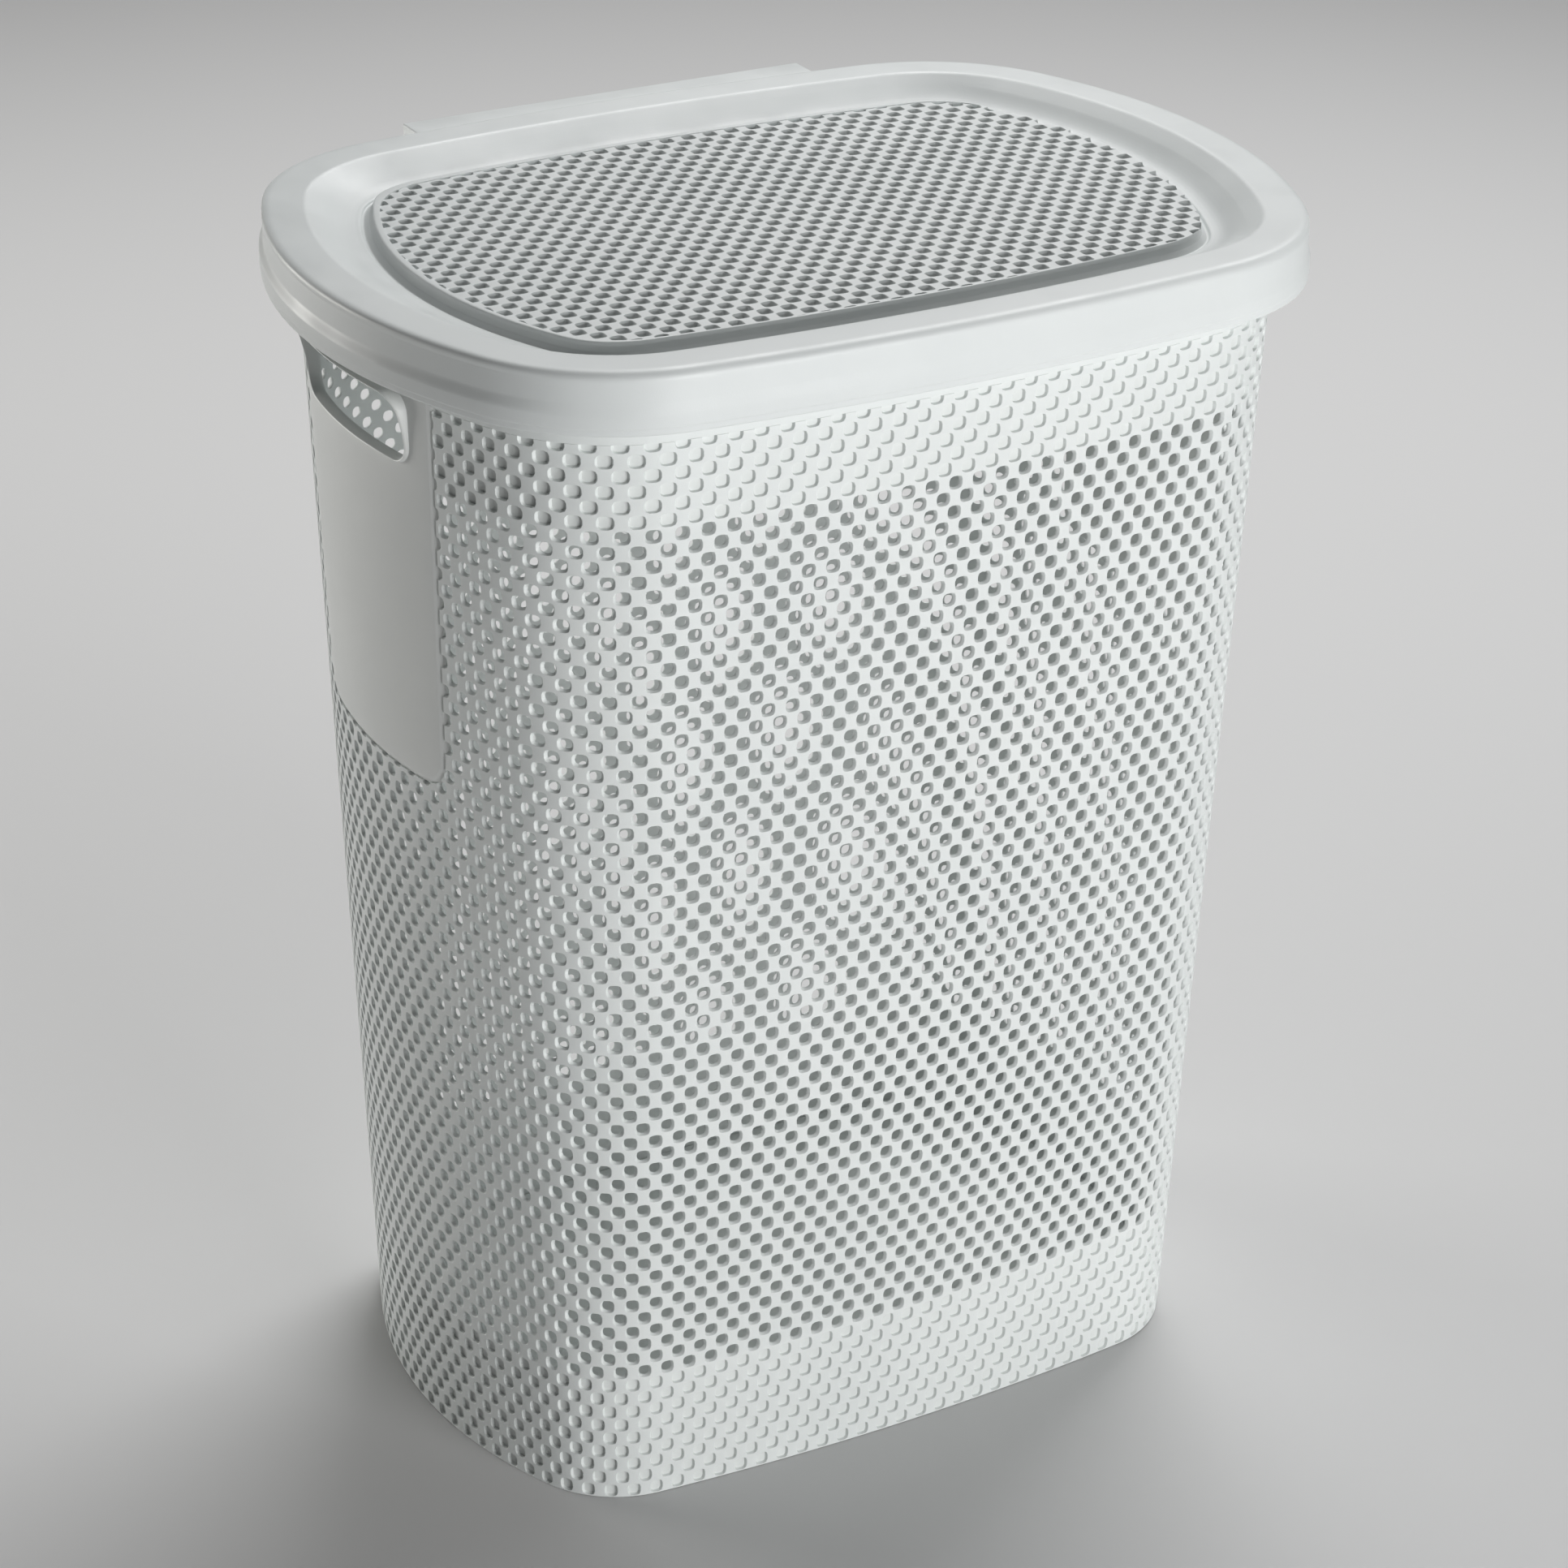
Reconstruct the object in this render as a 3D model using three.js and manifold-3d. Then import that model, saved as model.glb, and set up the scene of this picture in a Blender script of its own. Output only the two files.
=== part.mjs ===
// Laundry hamper with a hinged lid.
// Millimetres, +Z up. The hamper stands on z = 0, its hand slots face -X and +X, and its hinge is at the back, +Y.
// The origin is the middle of the footprint of the whole object, hinge hood included.
//
// Every horizontal section is the same rounded outline, moved inwards by an "inset". The outline has
// a slightly bowed front and back, more strongly bowed ends, and round corners.

import * as THREE from 'three';
import { mergeVertices } from 'three/addons/utils/BufferGeometryUtils.js';
import Module from 'manifold-3d';

const wasm = await Module();
wasm.setup();

// ---- Driving dimensions ----

const gap = 0.3;                 // hairline between neighbouring solids
const past = 4;                  // how far a blank or a cutter runs past the shape that it trims

const halfLength = 227;          // lid outline, measured on its skirt
const halfDepth = 166;
const frontRadius = 1335;        // bow of the front and back
const endRadius = 254;           // bow of the two ends
const cornerRadius = 90;

const skirtBottom = 541;         // heights above the floor
const lidTop = 568;
const lidThickness = 2.5;
const rimThickness = 2.5;
const rimTop = lidTop - lidThickness - gap;
const wallTop = rimTop - rimThickness - gap;

const wallInset = 16;            // wall's outer face at the height of the skirt's lower edge
const wallDraft = 21;            // how much further in it is at the floor
const wallThickness = 2.2;

const footHeight = 4.7;
const footWidth = 9;
const floorThickness = 2.5;
const floorClearance = 0.4;      // from the wall, which leans inwards here

const curlInset = 7;             // rolled rim of the tub
const curlWall = 2.2;
const curlBottom = 552;
const curlBevel = 0.8;
const rimInset = 19.5;

const panelBottom = 350;         // smooth handle panels
const panelTop = skirtBottom + 2;
const panelHalfTop = 66;
const panelHalfBottom = 60;
const panelCorner = 18;
const panelProud = 0.5;

const slotBottom = 499;          // hand slots, outside of the bezel
const slotTop = 533;
const slotHalf = 50;
const slotCorner = 10;
const bezelWall = 2.4;
const bezelFlareTop = 8;         // how far the lip stands out of the wall
const bezelFlareBottom = 2;
const bezelInside = 1.5;

const skirtChamfer = 0.6;        // lid, from its lower edge upwards and inwards
const bandTop = 549.5;
const waistInset = 1.5;
const waistBottom = 555;
const crownRadius = 4.1;
const crownInset = 21;           // inner edge of the flat crown
const dishInset = 43;
const dishBottom = 558;
const grooveInset = 44.5;
const grooveDepth = 0.4;
const beadInset = 48.6;
const beadTop = 563;
const beadBevel = 0.4;
const borderInset = 50;          // inner edge of the lid frame
const panelUpper = 562;
const panelLower = 559.5;

const hoodHalf = 103.6;          // hinge
const hoodRear = 173.2;
const hoodBottom = 548;
const hoodWall = 2.2;
const hoodReach = 16;            // blank in front of the lid's rearmost line, before it is trimmed
const axisY = 168;
const axisZ = 533;
const hingeX = 80;
const pinRadius = 2;
const pinHalf = 18;
const boreRadius = 2.35;
const earRadius = 5;
const earThickness = 4;
const clipHalf = 13.5;
const clipRadius = 4.6;
const clipMouth = 42;            // half angle of the snap opening, in degrees
const clipArmFront = 1.6;        // the arm's faces, from the hinge axis
const clipArmRear = 1.4;
const clipArmBottom = 3.2;
const bracketFront = 140;
const bracketRear = 151.5;
const bracketFlank = 3;          // plate beyond the outer faces of the ears
const bracketDrop = 9;           // plate below the hinge axis
const bracketClear = 1;          // plate below the skirt's lower edge

// ---- Materials ----

const plastic = (color, roughness) =>
  new THREE.MeshStandardMaterial({ color, roughness, metalness: 0 });
const tubPlastic = plastic(0xe3e7e6, 0.5);
const panelPlastic = plastic(0xd9dbd8, 0.55);
const lidPlastic = plastic(0xdde1e0, 0.45);
const hingePlastic = plastic(0xd6dad9, 0.5);

// ---- Outline ----

// The corner arc touches the end arc and the front arc from inside, which fixes its centre.
const frontCentre = new THREE.Vector2(0, halfDepth - frontRadius);
const endCentre = new THREE.Vector2(halfLength - endRadius, 0);
const cornerCentre = (() => {
  const toEnd = endCentre.clone().sub(frontCentre);
  const distance = toEnd.length();
  const fromFront = frontRadius - cornerRadius;
  const fromEnd = endRadius - cornerRadius;
  const along = (fromFront ** 2 - fromEnd ** 2 + distance ** 2) / (2 * distance);
  const across = Math.sqrt(fromFront ** 2 - along ** 2);
  const unit = toEnd.divideScalar(distance);
  const side = new THREE.Vector2(unit.y, -unit.x);
  return frontCentre.clone().addScaledVector(unit, along).addScaledVector(side, across);
})();
const endAngle = Math.atan2(cornerCentre.y, cornerCentre.x - endCentre.x);
const frontAngle = Math.atan2(cornerCentre.y - frontCentre.y, cornerCentre.x);

const arcs = [
  { centre: endCentre, radius: endRadius, from: 0, to: endAngle, steps: 4 },
  { centre: cornerCentre, radius: cornerRadius, from: endAngle, to: frontAngle, steps: 7 },
  { centre: frontCentre, radius: frontRadius, from: frontAngle, to: Math.PI / 2, steps: 5 },
];

// Points of the outline, anticlockwise from the +X end, as Vector2.
function outline(inset) {
  const quarter = [];
  for (const arc of arcs) {
    for (let i = 0; i < arc.steps; i += 1) {
      const angle = arc.from + ((arc.to - arc.from) * i) / arc.steps;
      const direction = new THREE.Vector2(Math.cos(angle), Math.sin(angle));
      quarter.push(arc.centre.clone().addScaledVector(direction, arc.radius - inset));
    }
  }
  const back = new THREE.Vector2(0, halfDepth - inset);
  const mirror = (points, sx, sy) => points.map((p) => new THREE.Vector2(p.x * sx, p.y * sy));
  const half = [...quarter, back, ...mirror(quarter, -1, 1).reverse()];
  const lower = mirror(half.slice(1, -1), 1, -1).reverse();
  return [...half, ...lower];
}

// Inset of the tub wall's outer face at height z.
const wallAt = (z) => wallInset + wallDraft * (1 - z / skirtBottom);

// ---- Shape helpers ----

const arcSteps = 12;             // straight pieces in each curve of an extruded shape

function geometryOf(positions, triangles) {
  const geometry = new THREE.BufferGeometry();
  geometry.setAttribute('position', new THREE.Float32BufferAttribute(positions, 3));
  geometry.setIndex(triangles);
  return geometry;
}

// A ring: the closed profile, a list of [inset, z] that runs up the outside and down the inside,
// is carried once round the outline.
function ring(profile) {
  const positions = [];
  const triangles = [];
  const count = outline(0).length;
  for (const [inset, z] of profile) {
    for (const point of outline(inset)) positions.push(point.x, point.y, z);
  }
  for (let row = 0; row < profile.length; row += 1) {
    const above = (row + 1) % profile.length;
    for (let i = 0; i < count; i += 1) {
      const next = (i + 1) % count;
      const a = row * count + i;
      const b = row * count + next;
      const c = above * count + next;
      const d = above * count + i;
      triangles.push(a, b, c, a, c, d);
    }
  }
  return geometryOf(positions, triangles);
}

// A solid plug with the outline's shape: its side goes through the [inset, z] points, lowest first.
function plug(side) {
  const positions = [];
  const triangles = [];
  const count = outline(0).length;
  for (const [inset, z] of side) {
    for (const point of outline(inset)) positions.push(point.x, point.y, z);
  }
  for (let row = 0; row + 1 < side.length; row += 1) {
    for (let i = 0; i < count; i += 1) {
      const next = (i + 1) % count;
      const a = row * count + i;
      const b = row * count + next;
      triangles.push(a, b, b + count, a, b + count, a + count);
    }
  }
  const bottom = positions.length / 3;
  positions.push(0, 0, side[0][1]);
  const top = bottom + 1;
  positions.push(0, 0, side[side.length - 1][1]);
  const last = (side.length - 1) * count;
  for (let i = 0; i < count; i += 1) {
    const next = (i + 1) % count;
    triangles.push(bottom, next, i, top, last + i, last + next);
  }
  return geometryOf(positions, triangles);
}

function box(x0, x1, y0, y1, z0, z1) {
  const geometry = new THREE.BoxGeometry(x1 - x0, y1 - y0, z1 - z0);
  return geometry.translate((x0 + x1) / 2, (y0 + y1) / 2, (z0 + z1) / 2);
}

// Extrudes a shape drawn in (y, z) along +X, from x0 to x1.
function alongX(shape, x0, x1) {
  const geometry = new THREE.ExtrudeGeometry(shape, {
    depth: x1 - x0,
    bevelEnabled: false,
    curveSegments: arcSteps,
  });
  const toWorld = new THREE.Matrix4().makeBasis(
    new THREE.Vector3(0, 1, 0),
    new THREE.Vector3(0, 0, 1),
    new THREE.Vector3(1, 0, 0),
  );
  return geometry.applyMatrix4(toWorld).translate(x0, 0, 0);
}

const solid = (geometry) => {
  const bare = geometry.clone();
  bare.deleteAttribute('normal');
  bare.deleteAttribute('uv');
  const merged = mergeVertices(bare, 1e-4);
  return new wasm.Manifold(
    new wasm.Mesh({
      numProp: 3,
      vertProperties: new Float32Array(merged.attributes.position.array),
      triVerts: new Uint32Array(merged.index.array),
    }),
  );
};

const surface = (manifold) => {
  const mesh = manifold.getMesh();
  return geometryOf(Array.from(mesh.vertProperties), Array.from(mesh.triVerts));
};

// ---- Handle panel and hand slot outlines, in (y, z) ----

function panelShape(grow) {
  const low = panelBottom - grow;
  const high = panelTop + grow;
  const wide = panelHalfTop + grow;
  const narrow = panelHalfBottom + grow;
  const corner = panelCorner + grow;
  const shape = new THREE.Shape();
  shape.moveTo(-wide, high);
  shape.lineTo(-narrow, low + corner);
  shape.quadraticCurveTo(-narrow, low, -narrow + corner, low);
  shape.lineTo(narrow - corner, low);
  shape.quadraticCurveTo(narrow, low, narrow, low + corner);
  shape.lineTo(wide, high);
  shape.closePath();
  return shape;
}

// Rounded rectangle, smaller than the slot's outside by the amount "shrink".
function slotShape(shrink) {
  const half = slotHalf - shrink;
  const low = slotBottom + shrink;
  const high = slotTop - shrink;
  const corner = slotCorner - shrink;
  const shape = new THREE.Shape();
  shape.moveTo(-half + corner, low);
  shape.lineTo(half - corner, low);
  shape.absarc(half - corner, low + corner, corner, -Math.PI / 2, 0);
  shape.lineTo(half, high - corner);
  shape.absarc(half - corner, high - corner, corner, 0, Math.PI / 2);
  shape.lineTo(-half + corner, high);
  shape.absarc(-half + corner, high - corner, corner, Math.PI / 2, Math.PI);
  shape.lineTo(-half, low + corner);
  shape.absarc(-half + corner, low + corner, corner, Math.PI, 1.5 * Math.PI);
  return shape;
}

// Reach of a cutter through one end wall, on the side given by sign.
const endSpan = (sign) => {
  const near = halfLength / 2;
  const far = halfLength + past;
  return sign < 0 ? [-far, -near] : [near, far];
};

// ---- Tub ----

function tubWall() {
  const shell = solid(
    ring([
      [wallAt(0), 0],
      [wallAt(wallTop), wallTop],
      [wallAt(wallTop) + wallThickness, wallTop],
      [wallAt(0) + wallThickness, 0],
    ]),
  );
  const cutLeft = solid(alongX(panelShape(gap), ...endSpan(-1)));
  const cutRight = solid(alongX(panelShape(gap), ...endSpan(1)));
  return surface(shell.subtract(cutLeft).subtract(cutRight));
}

function tubFloor() {
  const inset = wallAt(footHeight) + wallThickness + floorClearance;
  const low = footHeight + gap;
  return plug([[inset, low], [inset, low + floorThickness]]);
}

function footRing() {
  const outer = wallAt(0) + wallThickness + gap;
  return ring([
    [outer, 0],
    [outer, footHeight],
    [outer + footWidth, footHeight],
    [outer + footWidth, 0],
  ]);
}

function tubRim() {
  return ring([
    [curlInset + curlWall, curlBottom],
    [curlInset, curlBottom],
    [curlInset, rimTop - curlBevel],
    [curlInset + curlBevel, rimTop],
    [rimInset, rimTop],
    [rimInset, wallTop + gap],
    [curlInset + curlWall, wallTop + gap],
  ]);
}

function handlePanel(sign) {
  const low = panelBottom - past;
  const high = panelTop + past;
  const sheet = solid(
    ring([
      [wallAt(low) - panelProud, low],
      [wallAt(high) - panelProud, high],
      [wallAt(high) + wallThickness, high],
      [wallAt(low) + wallThickness, low],
    ]),
  );
  const blank = solid(alongX(panelShape(0), ...endSpan(sign)));
  const slot = solid(alongX(slotShape(-gap), ...endSpan(sign)));
  return surface(sheet.intersect(blank).subtract(slot));
}

function gripBezel(sign) {
  const low = slotBottom - past;
  const high = slotTop + past;
  const inside = wallThickness + bezelInside;
  const sheet = solid(
    ring([
      [wallAt(low) - bezelFlareBottom, low],
      [wallAt(high) - bezelFlareTop, high],
      [wallAt(high) + inside, high],
      [wallAt(low) + inside, low],
    ]),
  );
  const outer = solid(alongX(slotShape(0), ...endSpan(sign)));
  const opening = solid(alongX(slotShape(bezelWall), ...endSpan(sign)));
  return surface(sheet.intersect(outer).subtract(opening));
}

// ---- Hinge ----

// Cylinder on the hinge axis, from x0 to x1.
function rod(radius, x0, x1) {
  const geometry = new THREE.CylinderGeometry(radius, radius, x1 - x0, 2 * arcSteps);
  return geometry.rotateZ(Math.PI / 2).translate((x0 + x1) / 2, axisY, axisZ);
}

function hingeBracket(centreX) {
  const plateHalf = pinHalf + bracketFlank;
  const low = axisZ - bracketDrop;
  const high = skirtBottom - bracketClear;
  let bracket = solid(
    box(centreX - plateHalf, centreX + plateHalf, bracketFront, bracketRear, low, high),
  );
  for (const start of [centreX - pinHalf, centreX + pinHalf - earThickness]) {
    const end = start + earThickness;
    const arm = box(start, end, bracketFront, axisY, axisZ - earRadius, axisZ + earRadius);
    const eye = rod(earRadius, start, end);
    bracket = bracket.add(solid(arm)).add(solid(eye));
  }
  const bore = solid(rod(boreRadius, centreX - plateHalf - past, centreX + plateHalf + past));
  const tub = solid(
    plug([[wallAt(low - past) - gap, low - past], [wallAt(high + past) - gap, high + past]]),
  );
  return surface(bracket.subtract(bore).subtract(tub));
}

function hingePin(centreX) {
  return rod(pinRadius, centreX - pinHalf, centreX + pinHalf);
}

function lidClip(centreX) {
  const mouth = THREE.MathUtils.degToRad(clipMouth);
  const start = mouth - Math.PI / 2;
  const end = 1.5 * Math.PI - mouth;
  const shape = new THREE.Shape();
  shape.absarc(axisY, axisZ, clipRadius, start, end, false);
  shape.absarc(axisY, axisZ, boreRadius, end, start, true);
  const x0 = centreX - clipHalf;
  const x1 = centreX + clipHalf;
  const hook = solid(alongX(shape, x0, x1));
  const arm = solid(
    box(
      x0,
      x1,
      axisY - clipArmFront,
      axisY + clipArmRear,
      axisZ + clipArmBottom,
      lidTop - lidThickness - gap,
    ),
  );
  return surface(hook.add(arm));
}

// ---- Lid ----

// Points of a curve in the lid's section; each control point is [inset, z].
function bend(controls, steps) {
  const [a, b, c, d] = controls.map(([inset, z]) => new THREE.Vector2(inset, z));
  const curve = d
    ? new THREE.CubicBezierCurve(a, b, c, d)
    : new THREE.QuadraticBezierCurve(a, b, c);
  return curve.getPoints(steps).map((point) => [point.x, point.y]);
}

// Lid surface from the top of the skirt's band over the crown to the foot of the dish. "skin" is the
// distance below the outside.
function lidSurface(skin) {
  const waist = waistInset + skin;
  const top = lidTop - skin;
  const middle = (bandTop + waistBottom) / 2;
  const crownStart = waistInset + crownRadius;
  const crownEnd = crownInset + skin / 2;
  return [
    ...bend([[skin, bandTop], [skin, middle], [waist, middle], [waist, waistBottom]], 4),
    ...bend([[waist, lidTop - crownRadius], [waist, top], [crownStart + skin / 2, top]], 4),
    ...bend(
      [
        [crownEnd, top],
        [crownEnd + 0.38 * (dishInset - crownInset), top - 0.5 * (lidTop - dishBottom)],
        [crownEnd + 0.7 * (dishInset - crownInset), dishBottom - skin],
        [dishInset, dishBottom - skin],
      ],
      6,
    ),
  ];
}

function lidFrame() {
  const outside = [
    [skirtChamfer, skirtBottom],
    [0, skirtBottom + 2 * skirtChamfer],
    ...lidSurface(0),
    [grooveInset, dishBottom - grooveDepth],
    [beadInset, beadTop - beadBevel],
    [beadInset + beadBevel, beadTop],
    [borderInset, beadTop],
  ];
  const underside = [
    [lidThickness, skirtBottom],
    ...lidSurface(lidThickness),
    [grooveInset + lidThickness / 2, dishBottom - lidThickness],
    [borderInset, beadTop - lidThickness],
  ];
  return ring([...outside, ...underside.reverse()]);
}

function lidPanel() {
  const inset = borderInset + gap;
  return plug([[inset, panelLower], [inset, panelUpper]]);
}

function hingeHood() {
  const front = halfDepth - hoodReach;
  const outer = solid(box(-hoodHalf, hoodHalf, front, hoodRear, hoodBottom, lidTop));
  const innerHalf = hoodHalf - hoodWall;
  const hollow = solid(
    box(
      -innerHalf,
      innerHalf,
      front - past,
      hoodRear - hoodWall,
      hoodBottom - past,
      lidTop - lidThickness,
    ),
  );
  const lid = solid(plug([[-gap, hoodBottom - past], [-gap, lidTop + past]]));
  return surface(outer.subtract(hollow).subtract(lid));
}

// ---- Assembly ----

const tub = new THREE.Group();
const lid = new THREE.Group();

function add(group, name, geometry, material) {
  const mesh = new THREE.Mesh(geometry, material);
  mesh.name = name;
  group.add(mesh);
}

add(tub, 'tub_wall', tubWall(), tubPlastic);
add(tub, 'tub_floor', tubFloor(), tubPlastic);
add(tub, 'foot_ring', footRing(), tubPlastic);
add(tub, 'tub_rim', tubRim(), tubPlastic);
add(lid, 'lid_frame', lidFrame(), lidPlastic);
add(lid, 'lid_panel', lidPanel(), lidPlastic);
add(lid, 'hinge_hood', hingeHood(), lidPlastic);
for (const [side, sign] of [['left', -1], ['right', 1]]) {
  add(tub, `${side}_handle_panel`, handlePanel(sign), panelPlastic);
  add(tub, `${side}_grip_bezel`, gripBezel(sign), panelPlastic);
  add(tub, `${side}_hinge_bracket`, hingeBracket(sign * hingeX), hingePlastic);
  add(tub, `${side}_hinge_pin`, hingePin(sign * hingeX), hingePlastic);
  add(lid, `${side}_lid_clip`, lidClip(sign * hingeX), hingePlastic);
}

const hamper = new THREE.Group();
hamper.add(tub, lid);
hamper.position.y = -(hoodRear - halfDepth) / 2;

export default hamper;
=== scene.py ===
import math

import bmesh
import bpy
import numpy as np
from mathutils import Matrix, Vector
from mathutils.geometry import delaunay_2d_cdt


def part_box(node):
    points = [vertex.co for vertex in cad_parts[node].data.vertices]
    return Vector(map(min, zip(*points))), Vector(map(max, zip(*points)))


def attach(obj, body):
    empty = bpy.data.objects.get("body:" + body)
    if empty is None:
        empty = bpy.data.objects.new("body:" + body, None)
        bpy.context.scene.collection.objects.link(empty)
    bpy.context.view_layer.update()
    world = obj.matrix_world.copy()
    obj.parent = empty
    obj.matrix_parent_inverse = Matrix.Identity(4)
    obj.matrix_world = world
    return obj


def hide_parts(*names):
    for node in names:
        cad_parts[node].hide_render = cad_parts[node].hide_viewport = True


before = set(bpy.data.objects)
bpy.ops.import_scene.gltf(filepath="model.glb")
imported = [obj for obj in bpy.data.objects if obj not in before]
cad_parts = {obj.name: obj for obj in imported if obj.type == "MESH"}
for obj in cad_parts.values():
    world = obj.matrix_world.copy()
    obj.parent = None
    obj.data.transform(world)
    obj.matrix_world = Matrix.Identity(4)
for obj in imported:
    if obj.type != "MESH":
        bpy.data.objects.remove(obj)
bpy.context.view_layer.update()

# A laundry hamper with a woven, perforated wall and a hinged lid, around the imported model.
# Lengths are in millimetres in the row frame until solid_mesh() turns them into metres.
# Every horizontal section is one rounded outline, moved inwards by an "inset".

MM = 0.001


def extent(node):
    """Lowest and highest corner of a CAD node, in millimetres."""
    low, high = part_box(node)
    return Vector(low) / MM, Vector(high) / MM


# ---- Driving dimensions ----

lid_low, lid_high = extent("lid_frame")
_, wall_high = extent("tub_wall")
_, foot_high = extent("foot_ring")
floor_low, floor_high = extent("tub_floor")
rim_low, rim_high = extent("tub_rim")
hood_low, hood_high = extent("hinge_hood")
panel_low, panel_high = extent("left_handle_panel")
bezel_low, bezel_high = extent("left_grip_bezel")

HALF_LENGTH = (lid_high.x - lid_low.x) / 2
HALF_DEPTH = (lid_high.y - lid_low.y) / 2
MIDDLE_Y = (lid_high.y + lid_low.y) / 2
SKIRT_BOTTOM = lid_low.z
LID_TOP = lid_high.z
WALL_TOP = wall_high.z

FRONT_RADIUS = 1335              # bow of the front and back
END_RADIUS = 254                 # bow of the two ends
CORNER_RADIUS = 90

WALL_INSET = 16                  # wall's outer face at the height of the skirt's lower edge
WALL_DRAFT = 21                  # how much further in it is at the floor
WALL_THICKNESS = 2.2

COLUMNS = 104                    # pits round the wall in each row
ROWS = 75
OPEN_ROWS = range(6, 66)         # rows that are cut right through
ROW_TOP = 530.4                  # height of the first row's middle
ROW_STEP = 6.73                  # from one row to the next at the top, growing downwards
ROW_GROWTH = 0.00517
COLLAR_BOTTOM = 531              # plain top of the wall
CORNER_STRETCH = 0.126           # how much wider the corner columns are at the top than at the floor
BAND_ROWS = 6                    # open rows in each piece of the wall

LID_PITCH = 11.3                 # weave of the lid's field, along x
LID_ROW = 6.7                    # and along y
FIELD_TOP = 562.6
FIELD_THICKNESS = 2.4
FIELD_SHIFT = (1.9, -1.5)        # the woven field sits a little off the middle of its border
FIELD_INSET = 50.6
FIELD_LAP = 0.1                  # how far the field's edge laps into the border round it
FIELD_MARGIN = 8.6               # cells are made this far past the field's edge before it is cut
BORDER_INSET = 55                # how far in the border reaches before the field's place is cut

SKIRT_LINE = 2.9                 # faint line round the skirt, above its lower edge
BAND_TOP = 549.5                 # the skirt's lower, wider band
SIDE_DRAFT = 0.04                # how far in each of the side's steps above the band goes
SIDE_STEPS = 8
SIDE_INSET = 0.4                 # outside face where the crown's roll begins
WAIST_INSET = 1.5
WAIST_BOTTOM = 555
CROWN_RADIUS = 4.1
CROWN_INSET = 21                 # inner edge of the flat crown
DISH_INSET = 43
DISH_BOTTOM = 558
BEAD_INSET = 48.6
BEAD_TOP = 563
LID_THICKNESS = 2.5

PANEL_BOTTOM = panel_low.z
PANEL_TOP = panel_high.z
PANEL_HALF_TOP = (panel_high.y - panel_low.y) / 2
PANEL_HALF_BOTTOM = PANEL_HALF_TOP - 6
PANEL_CORNER = 18
PANEL_PROUD = 0.5
PANEL_LAP = 0.3                  # how far the panel laps over the edge of its place in the wall
PANEL_HOLE = 0.6                 # how far inside the slot's outline the panel's hole lies
PANEL_CUT_FROM = 150             # the panel's place is cut from here outwards along x
PANEL_CUT_TO = 250
HIDDEN_MARGIN = 12               # cells this far inside the panel's place are left out

SLOT_BOTTOM = bezel_low.z
SLOT_TOP = bezel_high.z
SLOT_HALF = (bezel_high.y - bezel_low.y) / 2
SLOT_CORNER = 10
BEZEL_REACH_TOP = 8              # how far the lip stands out of the wall
BEZEL_REACH_BOTTOM = 2


# ---- Outline ----

FRONT_CENTRE = Vector((0, HALF_DEPTH - FRONT_RADIUS))
END_CENTRE = Vector((HALF_LENGTH - END_RADIUS, 0))


def corner_centre():
    """Centre of the corner arc, which touches the end arc and the front arc from inside."""
    to_end = END_CENTRE - FRONT_CENTRE
    distance = to_end.length
    from_front = FRONT_RADIUS - CORNER_RADIUS
    from_end = END_RADIUS - CORNER_RADIUS
    along = (from_front ** 2 - from_end ** 2 + distance ** 2) / (2 * distance)
    across = math.sqrt(from_front ** 2 - along ** 2)
    unit = to_end.normalized()
    return FRONT_CENTRE + unit * along + Vector((unit.y, -unit.x)) * across


CORNER_CENTRE = corner_centre()
END_ANGLE = math.atan2(CORNER_CENTRE.y, CORNER_CENTRE.x - END_CENTRE.x)
FRONT_ANGLE = math.atan2(CORNER_CENTRE.y - FRONT_CENTRE.y, CORNER_CENTRE.x)


def outline(angle, inset):
    """x and y of the outline's points whose outward normals stand at those angles."""
    angle = np.asarray(angle, float)
    fold = np.arctan2(np.abs(np.sin(angle)), np.abs(np.cos(angle)))
    arcs = [fold < END_ANGLE, fold < FRONT_ANGLE]
    radius = np.select(arcs, [END_RADIUS, CORNER_RADIUS], FRONT_RADIUS) - inset
    centre_x = np.select(arcs, [END_CENTRE.x, CORNER_CENTRE.x], FRONT_CENTRE.x)
    centre_y = np.select(arcs, [END_CENTRE.y, CORNER_CENTRE.y], FRONT_CENTRE.y)
    x = np.sign(np.cos(angle)) * (centre_x + radius * np.cos(fold))
    y = np.sign(np.sin(angle)) * (centre_y + radius * np.sin(fold))
    return x, y + MIDDLE_Y


def ring_angles(end_steps=10, corner_steps=18, front_steps=12):
    """Normal angles once round the outline, closer together where it turns."""
    quarter = np.concatenate([
        np.linspace(0, END_ANGLE, end_steps, endpoint=False),
        np.linspace(END_ANGLE, FRONT_ANGLE, corner_steps, endpoint=False),
        np.linspace(FRONT_ANGLE, math.pi / 2, front_steps + 1),
    ])
    half = np.concatenate([quarter, math.pi - quarter[-2::-1]])
    return np.concatenate([half, half[1:-1] + math.pi])


def wall_inset(z):
    """Inset of the wall's outer face at height z."""
    return WALL_INSET + WALL_DRAFT * (1 - z / SKIRT_BOTTOM)


# ---- Mesh helpers ----

def solid_mesh(name, points, faces, sharp=40):
    """A smooth-shaded object from points in millimetres; edges over "sharp" degrees stay crisp."""
    mesh = bpy.data.meshes.new(name)
    mesh.from_pydata((np.asarray(points, float) * MM).tolist(), [], faces)
    mesh.validate()
    obj = bpy.data.objects.new(name, mesh)
    bpy.context.collection.objects.link(obj)
    shade(obj, sharp)
    return obj


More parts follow.
